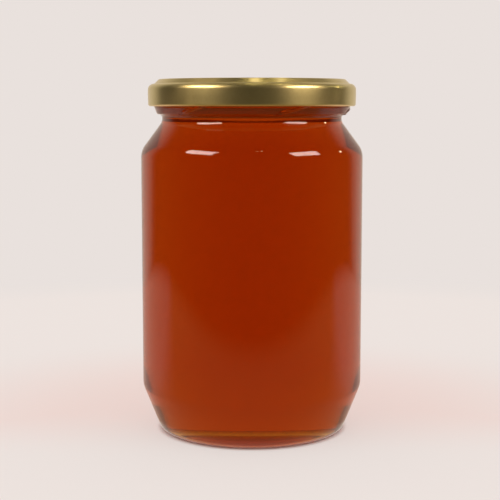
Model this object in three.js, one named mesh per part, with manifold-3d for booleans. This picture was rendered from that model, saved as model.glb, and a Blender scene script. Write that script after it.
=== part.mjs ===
// A shut jar of honey: a round clear glass jar, the honey that fills it and a gold twist-off lid
// of pressed steel. Millimetres, +Z up, standing on z = 0 about the Z axis, its front towards -Y.

import * as THREE from "three";
import { mergeVertices } from "three/addons/utils/BufferGeometryUtils.js";
import Module from "manifold-3d";

const wasm = await Module();
wasm.setup();

// Outside of the glass, from the ground up.
const standingRadius = 32.0; // inner edge of the ring that the jar stands on
const standingFillet = 1.0;
const baseHollow = 5.2; // the base is domed up this far in the middle
const hollowRadius = 17.0;
const hollowFillet = 85.0;
const baseRadius = 38.0; // where the lower taper would meet the ground
const heelFillet = 4.0;
const bodyRadius = 45.5;
const taperTop = 18.9;
const taperFillet = 10.0;
const shoulderBottom = 115.9;
const shoulderFillet = 8.5;
const shoulderTop = 127.7;
const neckRadius = 36.75;
const neckFillet = 4.0;

// The neck's finish: a carrying bead, then the wall with the threads, then the rim.
const beadBottom = 130.4;
const beadFlank = 130.7;
const beadRadius = 40.0;
const beadCrest = 133.6;
const beadTop = 134.9;
const beadRootFillet = 1.4; // where the neck runs out under the bead
const beadTopFillet = 0.6;
const beadFillet = 0.8;
const finishRadius = 38.9;
const rimHeight = 143.3;
const rimFillet = 1.2;

// Inside of the glass.
const wall = 2.7;
const mouthRadius = 35.0;
const floorHeight = 2.2;
const floorRise = 4.9; // the inner floor follows the dome under the base
const domeRadius = 16.0;
const domeFillet = 85.0;
const insideNeckFillet = 4.0;
const insideShoulderFillet = 7.0;
const insideTaperFillet = 9.0;
const insideHeelFillet = 3.0;

// Honey.
const honeyLevel = 142.0; // full to just under the rim
const gap = 0.3; // clearance between neighbouring solids

// Screw threads on the finish.
const leads = 6;
const threadStart = THREE.MathUtils.degToRad(-138);
const threadSpan = THREE.MathUtils.degToRad(52);
const threadLow = 131.0;
const threadRise = 7.6;
const threadCrest = 40.2;
const threadSection = 1.1;
const threadSunk = 2.5; // how far a thread's ends go back into the wall
const runOut = 0.2; // share of a ridge over which each end comes up

// Lid.
const lidTop = 144.8;
const panelRadius = 32.6;
const panelDepth = 0.9;
const panelFillet = 0.8;
const ringInner = 34.0;
const ringOuter = 38.1;
const ringFillet = 0.7;
const ledgeRadius = 39.9;
const ledgeHeight = 143.0;
const ledgeFillet = 0.6;
const skirtRadius = 42.45;
const skirtTop = 142.8;
const skirtFillet = 2.4;
const barrelRadius = 42.65; // the skirt swells a little half way down
const barrelHeight = 138.1;
const barrelFillet = 30.0;
const lidBottom = 133.9;
const curl = 1.0; // radius of the rolled edge
const curlFillet = 0.9;
const sheet = 0.35;
const sealWidth = 0.5; // the sealing ring is this much wider than the raised ring over it
const lugReach = 39.5; // the lugs come in this close to the axis
const lugSection = 0.95;
const lugSpan = THREE.MathUtils.degToRad(14);
const lugPlace = 0.85; // along the thread that each lug has turned in under

// Fineness of the faceted surfaces.
const segments = 48;
const chordError = 0.08;
const ridgeSteps = 8;
const ridgeSides = 8;

// The points of a profile through corners [radius, height, fillet], each fillet turned into an arc.
function roundedProfile(corners) {
  return corners.flatMap(([radius, height, fillet], i) => {
    const corner = new THREE.Vector2(radius, height);
    if (!fillet) return [corner];
    const back = new THREE.Vector2(...corners[i - 1]).sub(corner).normalize();
    const ahead = new THREE.Vector2(...corners[i + 1]).sub(corner).normalize();
    const half = Math.acos(back.dot(ahead)) / 2;
    const inward = back.clone().add(ahead).normalize();
    const centre = corner.clone().addScaledVector(inward, fillet / Math.sin(half));
    const first = corner.clone().addScaledVector(back, fillet / Math.tan(half));
    const turn = -Math.sign(back.cross(ahead)) * (Math.PI - 2 * half);
    const steps = Math.ceil(Math.abs(turn) / (2 * Math.acos(1 - chordError / fillet)));
    return Array.from({ length: steps + 1 }, (_, k) =>
      first.clone().rotateAround(centre, (turn * k) / steps),
    );
  });
}

// A solid of revolution about the Z axis.
function turned(corners) {
  return new THREE.LatheGeometry(roundedProfile(corners), segments).rotateX(Math.PI / 2);
}

// A round ridge on a path about the Z axis: place(t) gives [angle, radius, height] for t from 0 to 1.
function ridge(place, section) {
  const points = Array.from({ length: ridgeSteps + 1 }, (_, k) => {
    const [angle, radius, height] = place(k / ridgeSteps);
    return new THREE.Vector3(radius * Math.cos(angle), radius * Math.sin(angle), height);
  });
  const outline = new THREE.EllipseCurve(0, 0, section, section).getPoints(ridgeSides).slice(1);
  return new THREE.ExtrudeGeometry(new THREE.Shape(outline), {
    extrudePath: new THREE.CatmullRomCurve3(points),
    steps: ridgeSteps,
  });
}

// A closed geometry as a solid that can be joined to others.
function solidOf(geometry) {
  const bare = geometry.clone();
  bare.deleteAttribute("normal");
  bare.deleteAttribute("uv");
  const merged = mergeVertices(bare, 1e-4);
  const vertProperties = merged.attributes.position.array;
  const triVerts = new Uint32Array(merged.index.array);
  return new wasm.Manifold(new wasm.Mesh({ numProp: 3, vertProperties, triVerts }));
}

// One closed geometry of a main body and the ridges that grow out of it.
function joined(body, ridges) {
  const made = ridges.reduce((sum, piece) => sum.add(solidOf(piece)), solidOf(body));
  const { vertProperties, triVerts } = made.getMesh();
  return new THREE.BufferGeometry()
    .setAttribute("position", new THREE.BufferAttribute(vertProperties, 3))
    .setIndex(new THREE.BufferAttribute(triVerts, 1));
}

// One copy for each lead of the thread, given the angle at which that lead starts.
function forEachLead(make) {
  return Array.from({ length: leads }, (_, k) => make(threadStart + (2 * Math.PI * k) / leads));
}

// How far a ridge stands out along its length: 0 at both ends, 1 over the middle.
function standing(t) {
  return THREE.MathUtils.smoothstep(Math.min(t, 1 - t), 0, runOut);
}

// Corners of the jar's inside, from under the mouth down to the middle of its floor.
function insideCorners(inset) {
  const shoulderAngle = Math.atan2(bodyRadius - neckRadius, shoulderTop - shoulderBottom);
  const taperAngle = Math.atan2(bodyRadius - baseRadius, taperTop);
  const shoulderDrop = wall * Math.tan(shoulderAngle / 2);
  const taperLift = wall * Math.tan(taperAngle / 2);
  const floorRadius = baseRadius + floorHeight * Math.tan(taperAngle) - wall / Math.cos(taperAngle);
  const body = bodyRadius - wall - inset;
  return [
    [neckRadius - wall - inset, shoulderTop - shoulderDrop, insideNeckFillet],
    [body, shoulderBottom - shoulderDrop, insideShoulderFillet],
    [body, taperTop + taperLift, insideTaperFillet],
    [floorRadius - inset, floorHeight + inset, insideHeelFillet],
    [domeRadius, floorHeight + floorRise + inset, domeFillet],
    [0, floorHeight + floorRise + inset],
  ];
}

function glassJar() {
  const outside = [
    [0, baseHollow],
    [hollowRadius, baseHollow, hollowFillet],
    [standingRadius, 0, standingFillet],
    [baseRadius, 0, heelFillet],
    [bodyRadius, taperTop, taperFillet],
    [bodyRadius, shoulderBottom, shoulderFillet],
    [neckRadius, shoulderTop, neckFillet],
    [neckRadius, beadBottom, beadRootFillet],
    [finishRadius, beadFlank, beadFillet],
    [beadRadius, beadCrest, beadFillet],
    [finishRadius, beadTop, beadTopFillet],
    [finishRadius, rimHeight, rimFillet],
    [mouthRadius, rimHeight, rimFillet],
  ];
  const threads = forEachLead((start) =>
    ridge((t) => {
      const radius = threadCrest - threadSection - (1 - standing(t)) * threadSunk;
      return [start + threadSpan * t, radius, threadLow + threadRise * t];
    }, threadSection),
  );
  return joined(turned([...outside, ...insideCorners(0)]), threads);
}

function honey() {
  const corners = insideCorners(gap);
  const [neck, neckBottom] = corners[0];
  const up = (honeyLevel - neckBottom) / (rimHeight - neckBottom);
  const surfaceRadius = THREE.MathUtils.lerp(neck, mouthRadius - gap, up);
  return turned([...corners.reverse(), [surfaceRadius, honeyLevel], [0, honeyLevel]]);
}

function lid() {
  const panel = lidTop - panelDepth;
  const inner = skirtRadius - sheet;
  const curlTop = lidBottom + 2 * curl;
  const curlInner = skirtRadius - 2 * curl;
  const shell = turned([
    [0, panel - sheet],
    [ringOuter + sealWidth, panel - sheet],
    [ledgeRadius - sealWidth, ledgeHeight - sheet],
    [inner, skirtTop - sheet, skirtFillet - sheet],
    [inner, curlTop + sheet],
    [curlInner, curlTop, curlFillet],
    [curlInner, lidBottom, curlFillet],
    [skirtRadius, lidBottom, curlFillet],
    [skirtRadius, curlTop],
    [barrelRadius, barrelHeight, barrelFillet],
    [skirtRadius, skirtTop, skirtFillet],
    [ledgeRadius, ledgeHeight, ledgeFillet],
    [ringOuter, lidTop, ringFillet],
    [ringInner, lidTop, panelFillet],
    [panelRadius, panel, panelFillet],
    [0, panel],
  ]);
  const rootRadius = skirtRadius - curl;
  const lugs = forEachLead((start) =>
    ridge((t) => {
      const angle = start + threadSpan * lugPlace + lugSpan * (t - 0.5);
      const radius = THREE.MathUtils.lerp(rootRadius, lugReach + lugSection, standing(t));
      return [angle, radius, lidBottom + curl];
    }, lugSection),
  );
  return joined(shell, lugs);
}

// A named mesh of one finish.
function part(name, geometry, finish) {
  const mesh = new THREE.Mesh(geometry, new THREE.MeshStandardMaterial(finish));
  mesh.name = name;
  return mesh;
}

const clearGlass = { color: 0xe8efec, roughness: 0.03, metalness: 0, transparent: true, opacity: 0.3 };
const darkHoney = { color: 0x90300a, roughness: 0.1, metalness: 0 };
const goldLacquer = { color: 0xcda968, roughness: 0.28, metalness: 1 };

const jar = new THREE.Group();
jar.add(
  part("glass_jar", glassJar(), clearGlass),
  part("honey", honey(), darkHoney),
  part("lid", lid(), goldLacquer),
);

export default jar;
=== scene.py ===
import math
import bpy
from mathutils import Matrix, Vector


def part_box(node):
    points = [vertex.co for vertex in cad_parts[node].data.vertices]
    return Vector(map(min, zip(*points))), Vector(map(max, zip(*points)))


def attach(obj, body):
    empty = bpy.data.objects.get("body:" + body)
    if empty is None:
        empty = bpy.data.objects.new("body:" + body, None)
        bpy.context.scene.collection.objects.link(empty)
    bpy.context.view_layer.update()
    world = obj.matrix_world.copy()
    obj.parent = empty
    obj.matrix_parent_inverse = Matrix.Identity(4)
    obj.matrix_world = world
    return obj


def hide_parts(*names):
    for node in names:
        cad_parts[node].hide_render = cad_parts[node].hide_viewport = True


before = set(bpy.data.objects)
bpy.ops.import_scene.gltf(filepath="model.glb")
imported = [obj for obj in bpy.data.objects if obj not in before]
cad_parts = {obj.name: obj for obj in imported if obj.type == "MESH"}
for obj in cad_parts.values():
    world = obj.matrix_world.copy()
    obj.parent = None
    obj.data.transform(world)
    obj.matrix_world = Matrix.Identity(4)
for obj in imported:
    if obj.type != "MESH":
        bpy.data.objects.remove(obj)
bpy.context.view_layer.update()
scene = bpy.context.scene
print("frame: nodes", sorted(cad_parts))

# shapes are worked out in millimetres and turned into metres when a mesh is made
mm = 0.001
glassLow, glassHigh = (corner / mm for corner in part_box("glass_jar"))
honeyLow, honeyHigh = (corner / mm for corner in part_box("honey"))
lidLow, lidHigh = (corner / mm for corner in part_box("lid"))

scene.view_settings.view_transform = "Standard"
scene.cycles.max_bounces = 24  # light crosses the glass and honey walls many times
scene.cycles.transmission_bounces = 24
scene.cycles.glossy_bounces = 12


# camera at the photograph's viewing angle
cameraSpec = dict(distance=509.0, height=135.6, aside=-0.8, pitchDown=6.85, lens=88.7)


def makeCamera():
    data = bpy.data.cameras.new("photoCamera")
    data.lens = cameraSpec["lens"]
    data.clip_start = 0.01
    camera = bpy.data.objects.new("photoCamera", data)
    place = Vector((cameraSpec["aside"], -cameraSpec["distance"], cameraSpec["height"]))
    camera.location = place * mm
    camera.rotation_euler = (math.radians(90 - cameraSpec["pitchDown"]), 0, 0)
    scene.collection.objects.link(camera)
    scene.camera = camera


makeCamera()
print("camera set")


# node helpers
def addNode(tree, kind, **settings):
    node = tree.nodes.new(kind)
    for name, value in settings.items():
        setattr(node, name, value)
    return node


def setInputs(node, **values):
    for name, value in values.items():
        node.inputs[name].default_value = value


def newMaterial(name):
    material = bpy.data.materials.new(name)
    material.use_nodes = True
    tree = material.node_tree
    return material, tree, tree.nodes["Principled BSDF"]


# studio: a pale table that fades into a pale backdrop, two soft boxes in front,
# a dark room behind the camera
studioSpec = dict(
    paper=(0.815, 0.753, 0.723, 1),
    overhead=0.95,  # share of the paper's brightness well above the picture
    overheadReach=(0.22, 0.42),
    floorPaint=(0.90, 0.85, 0.82, 1),
    glowPaint=(0.92, 0.82, 0.79, 1),  # amber light that the honey throws on the table
    glowPaper=(0.83, 0.665, 0.62, 1),
    glowReach=(0.07, 0.20),
    frontReach=(0.03, -0.05),  # from behind the jar to in front of it
    underDeep=(0.28, 0.06, 0.006, 1),  # the table under the jar, lit through the honey
    underBright=(0.42, 0.13, 0.008, 1),
    underBeside=(0.002, 0.012),
    underReach=(0.030, 0.040),
    evenLight=0.75,  # share of the table's light that no shadow takes away, past the jar's foot
    evenReach=(0.0375, 0.0405),
    floorRadius=3.0,
    fadeReach=(0.18, 0.45),  # distances over which the table turns into backdrop
    fill=1.25,
    tableShade=(0.42, 0.27, 0.10, 1),  # the lit table as the jar mirrors it, in front
    tableAside=(0.72, 0.50, 0.41, 1),  # and beside it
    footShade=(0.95, 0.86, 0.76, 1),  # the table close to the jar's heel as it mirrors it
    footReach=(0.038, 0.044),
    creviceShade=(0.05, 0.03, 0.02, 1),  # and under the heel
    creviceReach=(0.0362, 0.0376),
    tableMiddle=0.10,
    tableSpread=(0.55, 0.37),
    tableEdge=(0.75, 1.1),
)
# what the glass and lid mirror, from straight in front (0) to straight behind (1)
roomShades = [
    (0.0, 0.012), (0.7, 0.016), (0.745, 0.08), (0.80, 0.36),
    (0.866, 0.56), (0.973, 0.66), (1.0, 0.85),
]
roomTint = (1.0, 0.84, 0.70)
# soft boxes: degrees to the side of the camera and up, size in metres,
# brightness in the glass and on the table
softBoxes = dict(
    left=dict(azimuth=-61.0, elevation=37.5, size=(0.49, 0.25), shine=11.5, glow=1.5),
    right=dict(azimuth=61.0, elevation=32.0, size=(0.45, 0.27), shine=11.5, glow=1.5),
)
# small lamps that leave a spark on the shoulder
sparkLamps = dict(
    side=dict(azimuth=110.0, elevation=23.0, size=(0.035, 0.035), shine=45.0),
    front=dict(azimuth=9.0, elevation=52.0, size=(0.10, 0.03), shine=3.0),
)
boxSpec = dict(distance=0.90, glowBehind=0.02, tint=(1.0, 0.80, 0.68), glowTint=(1.0, 0.955, 0.925))


def mirroredRay(tree):  # 1 for what shows as a reflection, 0 for what shows straight on or through glass
    light = addNode(tree, "ShaderNodeLightPath")
    only = addNode(tree, "ShaderNodeMath", operation="SUBTRACT", use_clamp=True)
    tree.links.new(light.outputs["Is Glossy Ray"], only.inputs[0])
    tree.links.new(light.outputs["Is Transmission Ray"], only.inputs[1])
    return only.outputs["Value"]


def makeRoomShade():
    group = bpy.data.node_groups.new("roomShade", "ShaderNodeTree")
    group.interface.new_socket("Direction", in_out="INPUT", socket_type="NodeSocketVector")
    group.interface.new_socket("Shade", in_out="OUTPUT", socket_type="NodeSocketColor")
    given = addNode(group, "NodeGroupInput")
    out = addNode(group, "NodeGroupOutput")
    unit = addNode(group, "ShaderNodeVectorMath", operation="NORMALIZE")
    parts = addNode(group, "ShaderNodeSeparateXYZ")
    behind = addNode(group, "ShaderNodeMapRange")
    setInputs(behind, **{"From Min": -1.0})
    ramp = addNode(group, "ShaderNodeValToRGB")
    while len(ramp.color_ramp.elements) < len(roomShades):
        ramp.color_ramp.elements.new(1.0)
    for element, (where, shade) in zip(ramp.color_ramp.elements, roomShades):
        element.position = where
        element.color = (*(shade * tint for tint in roomTint), 1)
    link = group.links.new
    link(given.outputs["Direction"], unit.inputs[0])
    link(unit.outputs["Vector"], parts.inputs["Vector"])
    link(parts.outputs["Y"], behind.inputs["Value"])
    link(behind.outputs["Result"], ramp.inputs["Fac"])
    link(ramp.outputs["Color"], out.inputs["Shade"])
    return group


def fadeOver(tree, source, reach):  # 0 before the first distance, 1 past the second
    fade = addNode(tree, "ShaderNodeMapRange", interpolation_type="SMOOTHSTEP")
    setInputs(fade, **{"From Min": reach[0], "From Max": reach[1]})
    tree.links.new(source, fade.inputs["Value"])
    return fade.outputs["Result"]


def mixColours(tree, factor, first, second, blend="MIX"):
    mix = addNode(tree, "ShaderNodeMix", data_type="RGBA", blend_type=blend)
    sockets = [i for i in mix.inputs if i.type == "RGBA"]
    for socket, value in zip([mix.inputs["Factor"], *sockets], (factor, first, second)):
        if isinstance(value, bpy.types.NodeSocket):
            tree.links.new(value, socket)
        else:
            socket.default_value = value
    return next(o for o in mix.outputs if o.type == "RGBA")


def makeFloor(roomShade):
    steps = 64
    ring = [2 * math.pi * k / steps for k in range(steps)]
    reach = studioSpec["floorRadius"]
    mesh = bpy.data.meshes.new("studioFloor")
    mesh.from_pydata([(reach * math.cos(a), reach * math.sin(a), 0) for a in ring], [], [list(range(steps))])
    floor = bpy.data.objects.new("studioFloor", mesh)
    scene.collection.objects.link(floor)
    material, tree, shader = newMaterial("paleTable")
    setInputs(shader, **{"Roughness": 0.9, "Specular IOR Level": 0.0})
    link = tree.links.new
    coords = addNode(tree, "ShaderNodeTexCoord")
    place = coords.outputs["Object"]
    away = addNode(tree, "ShaderNodeVectorMath", operation="LENGTH")
    link(place, away.inputs[0])
    # the table's paint, with painted amber light from the honey beside and behind the jar
    parts = addNode(tree, "ShaderNodeSeparateXYZ")
    link(place, parts.inputs["Vector"])
    plain = fadeOver(tree, away.outputs["Value"], studioSpec["glowReach"])
    front = fadeOver(tree, parts.outputs["Y"], studioSpec["frontReach"])
    either = addNode(tree, "ShaderNodeMath", operation="MAXIMUM")
    link(plain, either.inputs[0])
    link(front, either.inputs[1])
    paint = mixColours(tree, either.outputs["Value"], studioSpec["glowPaint"], studioSpec["floorPaint"])
    link(paint, shader.inputs["Base Color"])
    # its even light, with painted amber light under the jar and a painted pink glow from the honey around it
    aside = addNode(tree, "ShaderNodeMath", operation="ABSOLUTE")
    link(parts.outputs["X"], aside.inputs[0])
    beside = fadeOver(tree, aside.outputs["Value"], studioSpec["underBeside"])
    amber = mixColours(tree, beside, studioSpec["underDeep"], studioSpec["underBright"])
    around = mixColours(tree, either.outputs["Value"], studioSpec["glowPaper"], studioSpec["paper"])
    outside = fadeOver(tree, away.outputs["Value"], studioSpec["underReach"])
    paper = addNode(tree, "ShaderNodeEmission")
    link(mixColours(tree, outside, amber, around), paper.inputs["Color"])
    even = addNode(tree, "ShaderNodeMath", operation="MULTIPLY")
    even.inputs[1].default_value = studioSpec["evenLight"]
    link(fadeOver(tree, away.outputs["Value"], studioSpec["evenReach"]), even.inputs[0])
    light = addNode(tree, "ShaderNodeLightPath")
    share = fadeOver(tree, away.outputs["Value"], studioSpec["fadeReach"])
    for other in (even.outputs["Value"], light.outputs["Is Transmission Ray"]):
        larger = addNode(tree, "ShaderNodeMath", operation="MAXIMUM")
        link(share, larger.inputs[0])
        link(other, larger.inputs[1])
        share = larger.outputs["Value"]
    fadeMix = addNode(tree, "ShaderNodeMixShader")
    link(share, fadeMix.inputs["Fac"])
    link(shader.outputs["BSDF"], fadeMix.inputs[1])
    link(paper.outputs["Emission"], fadeMix.inputs[2])
    # the table as a reflection: lit near the jar, with the room's shades past its edge
    shade = addNode(tree, "ShaderNodeGroup", node_tree=roomShade)
    link(place, shade.inputs["Direction"])
    oval = addNode(tree, "ShaderNodeMapping", vector_type="POINT")
    wide, deep = studioSpec["tableSpread"]
    setInputs(oval, Location=(0, -studioSpec["tableMiddle"] / deep, 0), Scale=(1 / wide, 1 / deep, 1))
    link(place, oval.inputs["Vector"])
    ovalAway = addNode(tree, "ShaderNodeVectorMath", operation="LENGTH")
    link(oval.outputs["Vector"], ovalAway.inputs[0])
    off = fadeOver(tree, ovalAway.outputs["Value"], studioSpec["tableEdge"])
    lit = mixColours(tree, front, studioSpec["tableAside"], studioSpec["tableShade"])
    table = mixColours(tree, off, lit, (0, 0, 0, 1))
    room = mixColours(tree, 1.0, shade.outputs["Shade"], table, "LIGHTEN")
    offFoot = fadeOver(tree, away.outputs["Value"], studioSpec["footReach"])
    near = mixColours(tree, offFoot, studioSpec["footShade"], room)
    offCrevice = fadeOver(tree, away.outputs["Value"], studioSpec["creviceReach"])
    seen = mixColours(tree, offCrevice, studioSpec["creviceShade"], near)
    mirrored = addNode(tree, "ShaderNodeEmission")
    link(seen, mirrored.inputs["Color"])
    mirrorMix = addNode(tree, "ShaderNodeMixShader")
    link(mirroredRay(tree), mirrorMix.inputs["Fac"])
    link(fadeMix.outputs["Shader"], mirrorMix.inputs[1])
    link(mirrored.outputs["Emission"], mirrorMix.inputs[2])
    link(mirrorMix.outputs["Shader"], tree.nodes["Material Output"].inputs["Surface"])
    mesh.materials.append(material)


def makeBackdrop(roomShade):
    world = bpy.data.worlds.new("studioRoom")
    world.use_nodes = True
    scene.world = world
    tree = world.node_tree
    tree.nodes.clear()
    link = tree.links.new
    coords = addNode(tree, "ShaderNodeTexCoord")
    parts = addNode(tree, "ShaderNodeSeparateXYZ")
    link(coords.outputs["Generated"], parts.inputs["Vector"])
    high = fadeOver(tree, parts.outputs["Z"], studioSpec["overheadReach"])
    dim = [channel * studioSpec["overhead"] for channel in studioSpec["paper"][:3]]
    plain = addNode(tree, "ShaderNodeBackground")
    link(mixColours(tree, high, studioSpec["paper"], (*dim, 1)), plain.inputs["Color"])
    fill = addNode(tree, "ShaderNodeBackground")
    setInputs(fill, Color=studioSpec["paper"], Strength=studioSpec["fill"])
    shade = addNode(tree, "ShaderNodeGroup", node_tree=roomShade)
    link(coords.outputs["Generated"], shade.inputs["Direction"])
    mirrored = addNode(tree, "ShaderNodeBackground")
    link(shade.outputs["Shade"], mirrored.inputs["Color"])
    light = addNode(tree, "ShaderNodeLightPath")
    diffuseMix = addNode(tree, "ShaderNodeMixShader")
    link(light.outputs["Is Diffuse Ray"], diffuseMix.inputs["Fac"])
    link(plain.outputs["Background"], diffuseMix.inputs[1])
    link(fill.outputs["Background"], diffuseMix.inputs[2])
    mirrorMix = addNode(tree, "ShaderNodeMixShader")
    link(mirroredRay(tree), mirrorMix.inputs["Fac"])
    link(diffuseMix.outputs["Shader"], mirrorMix.inputs[1])
    link(mirrored.outputs["Background"], mirrorMix.inputs[2])
    output = addNode(tree, "ShaderNodeOutputWorld")
    link(mirrorMix.outputs["Shader"], output.inputs["Surface"])


def makeSoftBox(name, box, brightness, tint, distance, mirroredOnly):
    wide, high = box["size"]
    data = bpy.data.lights.new(name, "AREA")
    data.shape = "RECTANGLE"
    data.size, data.size_y = wide, high
    data.energy = brightness * math.pi * wide * high
    data.color = tint
    lamp = bpy.data.objects.new(name, data)
    turn, lift = math.radians(box["azimuth"]), math.radians(box["elevation"])
    aim = Vector((math.sin(turn) * math.cos(lift), -math.cos(turn) * math.cos(lift), math.sin(lift)))
    target = Vector((0, 0, glassHigh.z * mm * 0.8))
    lamp.location = target + aim * distance
    lamp.rotation_euler = aim.to_track_quat("Z", "Y").to_euler()
    lamp.visible_camera = False
    lamp.visible_glossy = mirroredOnly
    lamp.visible_diffuse = not mirroredOnly
    lamp.visible_transmission = False
    scene.collection.objects.link(lamp)


# two warm lamps on the ceiling, seen in the step of the lid: metres from the jar, size, brightness
ceilingLamps = dict(
    over=dict(place=(0.03, 0.0, 1.1), size=0.10, shine=13.0),
    aside=dict(place=(0.30, 0.06, 1.1), size=0.10, shine=11.0),
)
ceilingTint = (1.0, 0.82, 0.48)


def makeCeilingLamp(name, lampSpec):
    data = bpy.data.lights.new(name, "AREA")
    data.shape = "DISK"
    data.size = lampSpec["size"]
    data.energy = lampSpec["shine"] * math.pi * math.pi * lampSpec["size"] ** 2 / 4
    data.color = ceilingTint
    lamp = bpy.data.objects.new(name, data)
    lamp.location = lampSpec["place"]
    lamp.visible_camera = False
    lamp.visible_diffuse = False
    lamp.visible_transmission = False
    scene.collection.objects.link(lamp)


roomShade = makeRoomShade()
makeFloor(roomShade)
makeBackdrop(roomShade)
for side, box in softBoxes.items():  # each box twice: as it shows in the glass, and as it lights the table
    near, far = boxSpec["distance"], boxSpec["distance"] + boxSpec["glowBehind"]
    makeSoftBox(side + "BoxShine", box, box["shine"], boxSpec["tint"], near, True)
    makeSoftBox(side + "BoxGlow", box, box["glow"], boxSpec["glowTint"], far, False)
for name, box in sparkLamps.items():
    makeSoftBox(name + "Spark", box, box["shine"], ceilingTint, boxSpec["distance"], True)
for name, lampSpec in ceilingLamps.items():
    makeCeilingLamp(name + "Lamp", lampSpec)
print("studio lit")


# turned shapes
def roundedProfile(corners, arcStep=5.0):
    points = []
    for i, (radius, height, *rest) in enumerate(corners):
        corner = Vector((radius, height))
        if not rest:
            points.append(corner)
            continue
        fillet = rest[0]
        back = (Vector(corners[i - 1][:2]) - corner).normalized()
        ahead = (Vector(corners[i + 1][:2]) - corner).normalized()
        half = math.acos(max(-1.0, min(1.0, back.dot(ahead)))) / 2
        centre = corner + (back + ahead).normalized() * (fillet / math.sin(half))
        first = corner + back * (fillet / math.tan(half)) - centre
        turn = math.copysign(math.pi - 2 * half, -back.cross(ahead))
        steps = math.ceil(abs(math.degrees(turn)) / arcStep)
        for k in range(steps + 1):
            c, s = math.cos(turn * k / steps), math.sin(turn * k / steps)
            points.append(centre + Vector((first.x * c - first.y * s, first.x * s + first.y * c)))
    return points


def splitRuns(points, longest):
    split = [points[0]]
    for start, end in zip(points, points[1:]):
        pieces = max(1, math.ceil((end - start).length / longest(start, end)))
        split += [start.lerp(end, k / pieces) for k in range(1, pieces + 1)]
    return split


def turnedObject(name, points, angles, shift, slotAt=lambda row: 0):
    verts, rows, faces, slots = [], [], [], []
    for row, (radius, height) in enumerate(points):
        rows.append(len(verts))
        if radius < 1e-6:
            verts.append((0, 0, height * mm))
            continue
        for angle in angles:
            r, z = shift(row, angle, radius, height)
            verts.append((r * math.cos(angle) * mm, r * math.sin(angle) * mm, z * mm))
    count = len(angles)
    single = [radius < 1e-6 for radius, height in points]
    for row in range(len(points) - 1):
        low, high = rows[row], rows[row + 1]
        for k in range(count):
            n = (k + 1) % count
            if single[row]:
                faces.append((low, high + n, high + k))
            elif single[row + 1]:
                faces.append((low + k, low + n, high))
            else:
                faces.append((low + k, low + n, high + n, high + k))
            slots.append(slotAt(row))
    mesh = bpy.data.meshes.new(name)
    mesh.from_pydata(verts, [], faces)
    mesh.polygons.foreach_set("use_smooth", [True] * len(faces))
    mesh.polygons.foreach_set("material_index", slots)
    mesh.update()
    made = bpy.data.objects.new(name, mesh)
    scene.collection.objects.link(made)
    return made


def smooth(x):
    x = max(0.0, min(1.0, x))
    return x * x * (3 - 2 * x)


def standing(t, runOut=0.2):  # 0 at both ends of a ridge, 1 over its middle
    return smooth(min(t, 1 - t) / runOut)


# threads and lugs share one spacing round the neck
threadSpec = dict(leads=6, start=-138.0, span=52.0, low=131.0, rise=7.6, height=1.3, halfWidth=1.35)


def alongLead(angle):  # 0 to 1 along a thread, above 1 in the space before the next
    pitch = 360.0 / threadSpec["leads"]
    return ((math.degrees(angle) - threadSpec["start"]) % pitch) / threadSpec["span"]


# glass
glassSpec = dict(
    standingRadius=32.0, standingFillet=1.0,
    baseHollow=5.2, hollowRadius=17.0, hollowFillet=85.0,
    baseRadius=38.0, heelFillet=4.0,
    taperTop=18.9, taperFillet=10.0,
    shoulderBottom=115.9, shoulderFillet=8.5,
    shoulderTop=127.7, neckRadius=36.75, neckFillet=4.0,
    beadBottom=130.4, beadFlank=130.7, beadRadius=40.0, beadCrest=133.6, beadTop=134.9,
    beadRootFillet=1.4, beadFillet=0.8, beadTopFillet=0.6,
    finishRadius=38.9, rimFillet=1.2,
    wall=2.7, mouthRadius=35.0, floorHeight=2.2, floorRise=4.9, domeRadius=16.0, domeFillet=85.0,
    insideNeckFillet=4.0, insideShoulderFillet=7.0, insideTaperFillet=9.0, insideHeelFillet=3.0,
    seamAngles=(8.0, 188.0), seamHeight=0.06, seamWidth=0.25,
    knurls=72, knurlDepth=0.2,
    columns=288,
)


def insideCorners():
    g = glassSpec
    shoulderAngle = math.atan2(glassHigh.x - g["neckRadius"], g["shoulderTop"] - g["shoulderBottom"])
    taperAngle = math.atan2(glassHigh.x - g["baseRadius"], g["taperTop"])
    drop = g["wall"] * math.tan(shoulderAngle / 2)
    lift = g["wall"] * math.tan(taperAngle / 2)
    floorRadius = g["baseRadius"] + g["floorHeight"] * math.tan(taperAngle) - g["wall"] / math.cos(taperAngle)
    body = glassHigh.x - g["wall"]
    return [
        (g["neckRadius"] - g["wall"], g["shoulderTop"] - drop, g["insideNeckFillet"]),
        (body, g["shoulderBottom"] - drop, g["insideShoulderFillet"]),
        (body, g["taperTop"] + lift, g["insideTaperFillet"]),
        (floorRadius, g["floorHeight"], g["insideHeelFillet"]),
        (g["domeRadius"], g["floorHeight"] + g["floorRise"], g["domeFillet"]),
        (0, g["floorHeight"] + g["floorRise"]),
    ]


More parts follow.
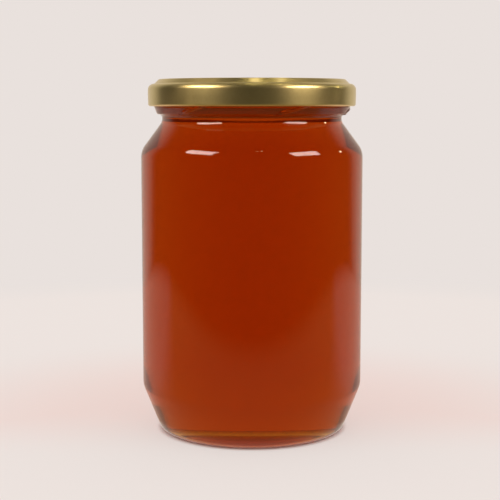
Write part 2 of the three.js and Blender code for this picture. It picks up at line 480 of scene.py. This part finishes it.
def makeGlass():
    g = glassSpec
    outside = [
        (0, g["baseHollow"]),
        (g["hollowRadius"], g["baseHollow"], g["hollowFillet"]),
        (g["standingRadius"], 0, g["standingFillet"]),
        (g["baseRadius"], 0, g["heelFillet"]),
        (glassHigh.x, g["taperTop"], g["taperFillet"]),
        (glassHigh.x, g["shoulderBottom"], g["shoulderFillet"]),
        (g["neckRadius"], g["shoulderTop"], g["neckFillet"]),
        (g["neckRadius"], g["beadBottom"], g["beadRootFillet"]),
        (g["finishRadius"], g["beadFlank"], g["beadFillet"]),
        (g["beadRadius"], g["beadCrest"], g["beadFillet"]),
        (g["finishRadius"], g["beadTop"], g["beadTopFillet"]),
        (g["finishRadius"], glassHigh.z, g["rimFillet"]),
        (g["mouthRadius"], glassHigh.z, g["rimFillet"]),
    ]

    def longest(start, end):
        threaded = min(start.x, end.x) > g["mouthRadius"] and min(start.y, end.y) > g["beadBottom"]
        return 0.3 if threaded else 3.0

    corners = insideCorners()
    points = splitRuns(roundedProfile(outside + corners), longest)
    rim = max(range(len(points)), key=lambda row: points[row].y)
    wet = next(row for row in range(rim, len(points)) if points[row].y < honeyHigh.z)

    def shift(row, angle, r, z):
        if row > rim:
            return r, z
        if z > g["beadBottom"] and r > g["neckRadius"]:  # thread
            t = alongLead(angle)
            if t < 1:
                off = (z - threadSpec["low"] - threadSpec["rise"] * t) / threadSpec["halfWidth"]
                if abs(off) < 1:
                    height = threadSpec["height"] * standing(t) * math.cos(off * math.pi / 2) ** 2
                    r = max(r, g["finishRadius"] + height)
            return r, z
        if z < 0.01 and g["standingRadius"] < r:  # knurled standing ring
            width = g["baseRadius"] - g["standingRadius"]
            inRing = standing((r - g["standingRadius"]) / width, 0.3)
            return r, z + g["knurlDepth"] * inRing * (0.5 - 0.5 * math.cos(g["knurls"] * angle))
        for seam in g["seamAngles"]:  # mould seams
            gap = math.radians((math.degrees(angle) - seam + 180) % 360 - 180) * r
            r += g["seamHeight"] * math.exp(-((gap / g["seamWidth"]) ** 2))
        return r, z

    angles = [2 * math.pi * k / g["columns"] for k in range(g["columns"])]
    seamStep = 0.6 * g["seamWidth"] / glassHigh.x
    for seam in g["seamAngles"]:
        angles += [math.radians(seam) + seamStep * k for k in range(-4, 5)]
    angles = sorted(angle % (2 * math.pi) for angle in angles)
    angles = [a for a, b in zip(angles, angles[1:] + [angles[0] + 2 * math.pi]) if b - a > 1e-4]

    def slotAt(row):  # dry glass, wetted wall, wetted floor
        if row < wet:
            return 0
        return 1 if points[row].x > g["standingRadius"] else 2

    return turnedObject("glassJar", points, angles, shift, slotAt)


# honey, reaching just into the glass wall
honeySpec = dict(intoWall=0.15, columns=192)


def makeHoney():
    g, into = glassSpec, honeySpec["intoWall"]
    inside = insideCorners()
    neck, neckBottom = inside[0][:2]
    up = (honeyHigh.z - neckBottom) / (glassHigh.z - neckBottom)
    surface = neck + (g["mouthRadius"] - neck) * up
    floorTop = g["floorHeight"] + g["floorRise"]
    corners = [(r + into if r else r, z - (into if z <= floorTop else 0), *f) for r, z, *f in inside]
    corners = corners[::-1] + [(surface + into, honeyHigh.z), (0, honeyHigh.z)]
    points = splitRuns(roundedProfile(corners), lambda start, end: 3.0)
    angles = [2 * math.pi * k / honeySpec["columns"] for k in range(honeySpec["columns"])]
    return turnedObject("honeyFill", points, angles, lambda row, angle, r, z: (r, z))


# lid
lidSpec = dict(
    panelRadius=32.6, panelDepth=0.9, panelFillet=0.8,
    ringInner=34.0, ringOuter=38.1, ringFillet=0.7,
    ledgeRadius=39.9, ledgeHeight=143.0, ledgeFillet=0.6,
    skirtRadius=42.45, skirtTop=142.8, skirtFillet=2.4,
    barrelHeight=138.1, barrelFillet=30.0,
    curl=1.0, curlFillet=0.9, sheet=0.3, sealWidth=0.5,
    lugReach=39.5, lugSpan=14.0, lugPlace=0.85,
    columns=288,
)


def makeLid():
    d = lidSpec
    top, bottom = lidHigh.z, lidLow.z
    panel = top - d["panelDepth"]
    inner = d["skirtRadius"] - d["sheet"]
    curlTop = bottom + 2 * d["curl"]
    curlInner = d["skirtRadius"] - 2 * d["curl"]
    corners = [
        (0, panel - d["sheet"]),
        (d["ringOuter"] + d["sealWidth"], panel - d["sheet"]),
        (d["ledgeRadius"] - d["sealWidth"], d["ledgeHeight"] - d["sheet"]),
        (inner, d["skirtTop"] - d["sheet"], d["skirtFillet"] - d["sheet"]),
        (inner, curlTop + d["sheet"]),
        (curlInner, curlTop, d["curlFillet"]),
        (curlInner, bottom, d["curlFillet"]),
        (d["skirtRadius"], bottom, d["curlFillet"]),
        (d["skirtRadius"], curlTop),
        (lidHigh.x, d["barrelHeight"], d["barrelFillet"]),
        (d["skirtRadius"], d["skirtTop"], d["skirtFillet"]),
        (d["ledgeRadius"], d["ledgeHeight"], d["ledgeFillet"]),
        (d["ringOuter"], top, d["ringFillet"]),
        (d["ringInner"], top, d["panelFillet"]),
        (d["panelRadius"], panel, d["panelFillet"]),
        (0, panel),
    ]
    points = splitRuns(roundedProfile(corners), lambda start, end: 2.0)
    root = d["skirtRadius"] - d["curl"]

    def shift(row, angle, r, z):  # lugs pressed in from the rolled edge
        if z > curlTop + d["sheet"] or r >= root:
            return r, z
        off = (alongLead(angle) - d["lugPlace"]) * threadSpec["span"] / d["lugSpan"] + 0.5
        if not 0 < off < 1:
            return r, z
        return r - (curlInner - d["lugReach"]) * standing(off, 0.35) * (root - r) / (root - curlInner), z

    angles = [2 * math.pi * k / d["columns"] for k in range(d["columns"])]
    return turnedObject("goldLid", points, angles, shift)


glassJar = makeGlass()
honeyFill = makeHoney()
goldLid = makeLid()
print("pieces made:", [len(o.data.polygons) for o in (glassJar, honeyFill, goldLid)])


# smudges and fine unevenness, shared by the glass and the lid
def makeSurfaceWear():
    group = bpy.data.node_groups.new("surfaceWear", "ShaderNodeTree")
    for name, value in (("Smudge Scale", 40.0), ("Smudge Amount", 0.1), ("Ripple Scale", 60.0)):
        socket = group.interface.new_socket(name, in_out="INPUT", socket_type="NodeSocketFloat")
        socket.default_value = value
    for name in ("Smudges", "Ripple"):
        group.interface.new_socket(name, in_out="OUTPUT", socket_type="NodeSocketFloat")
    link = group.links.new
    given = addNode(group, "NodeGroupInput")
    out = addNode(group, "NodeGroupOutput")
    coords = addNode(group, "ShaderNodeTexCoord")
    smudge = addNode(group, "ShaderNodeTexNoise")
    setInputs(smudge, Detail=5.0, Roughness=0.6, Distortion=0.8)
    patches = addNode(group, "ShaderNodeMapRange", interpolation_type="SMOOTHSTEP")
    setInputs(patches, **{"From Min": 0.48, "From Max": 0.75})
    ripple = addNode(group, "ShaderNodeTexNoise")
    setInputs(ripple, Detail=2.0)
    link(coords.outputs["Object"], smudge.inputs["Vector"])
    link(coords.outputs["Object"], ripple.inputs["Vector"])
    link(given.outputs["Smudge Scale"], smudge.inputs["Scale"])
    link(given.outputs["Ripple Scale"], ripple.inputs["Scale"])
    link(smudge.outputs["Fac"], patches.inputs["Value"])
    link(given.outputs["Smudge Amount"], patches.inputs["To Max"])
    link(patches.outputs["Result"], out.inputs["Smudges"])
    link(ripple.outputs["Fac"], out.inputs["Ripple"])
    return group


def addWear(tree, shader, group, smudgeScale, smudgeAmount, rippleScale, rippleDepth, plainRoughness):
    wear = addNode(tree, "ShaderNodeGroup", node_tree=group)
    setInputs(wear, **{"Smudge Scale": smudgeScale, "Smudge Amount": smudgeAmount,
                       "Ripple Scale": rippleScale})
    rough = addNode(tree, "ShaderNodeMath", operation="ADD")
    rough.inputs[1].default_value = plainRoughness
    bump = addNode(tree, "ShaderNodeBump")
    setInputs(bump, Distance=rippleDepth)
    tree.links.new(wear.outputs["Smudges"], rough.inputs[0])
    tree.links.new(rough.outputs["Value"], shader.inputs["Roughness"])
    tree.links.new(wear.outputs["Ripple"], bump.inputs["Height"])
    tree.links.new(bump.outputs["Normal"], shader.inputs["Normal"])
    return wear


surfaceWear = makeSurfaceWear()

# clear glass; honey bends light as glass does, so nothing shows at the wall that it wets
clearGlassSpec = dict(
    tint=(0.985, 1.0, 0.99, 1),
    floorTintAndShade=(0.55, 0.38, 0.15, 1),  # the thick base lets less light through: partly the glass's own tint, partly painted shade for the dim light behind the base
    ior=1.52, wettedIor=1.0,
    wear=dict(smudgeScale=45.0, smudgeAmount=0.03, rippleScale=35.0, rippleDepth=0.00004, plainRoughness=0.0),
)


def clearGlass():
    material, tree, shader = newMaterial("clearGlass")
    setInputs(shader, **{"Base Color": clearGlassSpec["tint"], "IOR": clearGlassSpec["ior"],
                         "Transmission Weight": 1.0})
    addWear(tree, shader, surfaceWear, **clearGlassSpec["wear"])
    return material


def wettedGlass(name, tint):
    material, tree, shader = newMaterial(name)
    setInputs(shader, **{"Base Color": tint, "IOR": clearGlassSpec["wettedIor"],
                         "Roughness": 0.0, "Transmission Weight": 1.0})
    return material


# honey
honeyFinish = dict(
    clear=(1.0, 1.0, 1.0, 1), cloudy=(0.97, 0.93, 0.85, 1), cloudScale=30.0,
    ior=clearGlassSpec["wettedIor"], density=100.0, soak=(0.850, 0.526, 0.0, 1),
    glow=(1.5, 0.28, 0.0, 1),  # painted glow standing in for light scattered about in the honey, for each metre
)


def darkHoney():
    material, tree, shader = newMaterial("darkHoney")
    setInputs(shader, **{"IOR": honeyFinish["ior"], "Roughness": 0.0, "Transmission Weight": 1.0})
    coords = addNode(tree, "ShaderNodeTexCoord")
    clouds = addNode(tree, "ShaderNodeTexNoise")
    setInputs(clouds, Scale=honeyFinish["cloudScale"], Detail=2.0)
    tree.links.new(coords.outputs["Object"], clouds.inputs["Vector"])
    tone = mixColours(tree, clouds.outputs["Fac"], honeyFinish["clear"], honeyFinish["cloudy"])
    tree.links.new(tone, shader.inputs["Base Color"])
    soak = addNode(tree, "ShaderNodeVolumeAbsorption")
    setInputs(soak, Color=honeyFinish["soak"], Density=honeyFinish["density"])
    # painted glow: the honey gives out light of its own in place of scattered light
    glow = addNode(tree, "ShaderNodeEmission")
    setInputs(glow, Color=honeyFinish["glow"])
    body = addNode(tree, "ShaderNodeAddShader")
    tree.links.new(soak.outputs["Volume"], body.inputs[0])
    tree.links.new(glow.outputs["Emission"], body.inputs[1])
    tree.links.new(body.outputs["Shader"], tree.nodes["Material Output"].inputs["Volume"])
    return material


# gold lacquer on pressed tinplate
lacquerSpec = dict(
    pale=(0.84, 0.74, 0.33, 1), deep=(0.76, 0.65, 0.27, 1),
    anisotropy=0.52, turn=0.25,  # rolled sheet smears a reflection up and down
    coat=0.4, coatRoughness=0.12,
    wear=dict(smudgeScale=60.0, smudgeAmount=0.08, rippleScale=900.0, rippleDepth=0.00002, plainRoughness=0.35),
)


def goldLacquer():
    material, tree, shader = newMaterial("goldLacquer")
    setInputs(shader, **{"Metallic": 1.0, "Anisotropic": lacquerSpec["anisotropy"],
                         "Anisotropic Rotation": lacquerSpec["turn"], "Coat Weight": lacquerSpec["coat"],
                         "Coat Roughness": lacquerSpec["coatRoughness"]})
    wear = addWear(tree, shader, surfaceWear, **lacquerSpec["wear"])
    tone = mixColours(tree, wear.outputs["Ripple"], lacquerSpec["pale"], lacquerSpec["deep"])
    tree.links.new(tone, shader.inputs["Base Color"])
    return material


glassJar.data.materials.append(clearGlass())
glassJar.data.materials.append(wettedGlass("wettedGlass", clearGlassSpec["tint"]))
glassJar.data.materials.append(wettedGlass("wettedFloor", clearGlassSpec["floorTintAndShade"]))
honeyFill.data.materials.append(darkHoney())
goldLid.data.materials.append(goldLacquer())
print("finishes made")

for piece, node, slotName in (
    (glassJar, "glass_jar", "glass"),
    (honeyFill, "honey", "honey"),
    (goldLid, "lid", "lid"),
):
    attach(piece, "root")
    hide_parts(node)
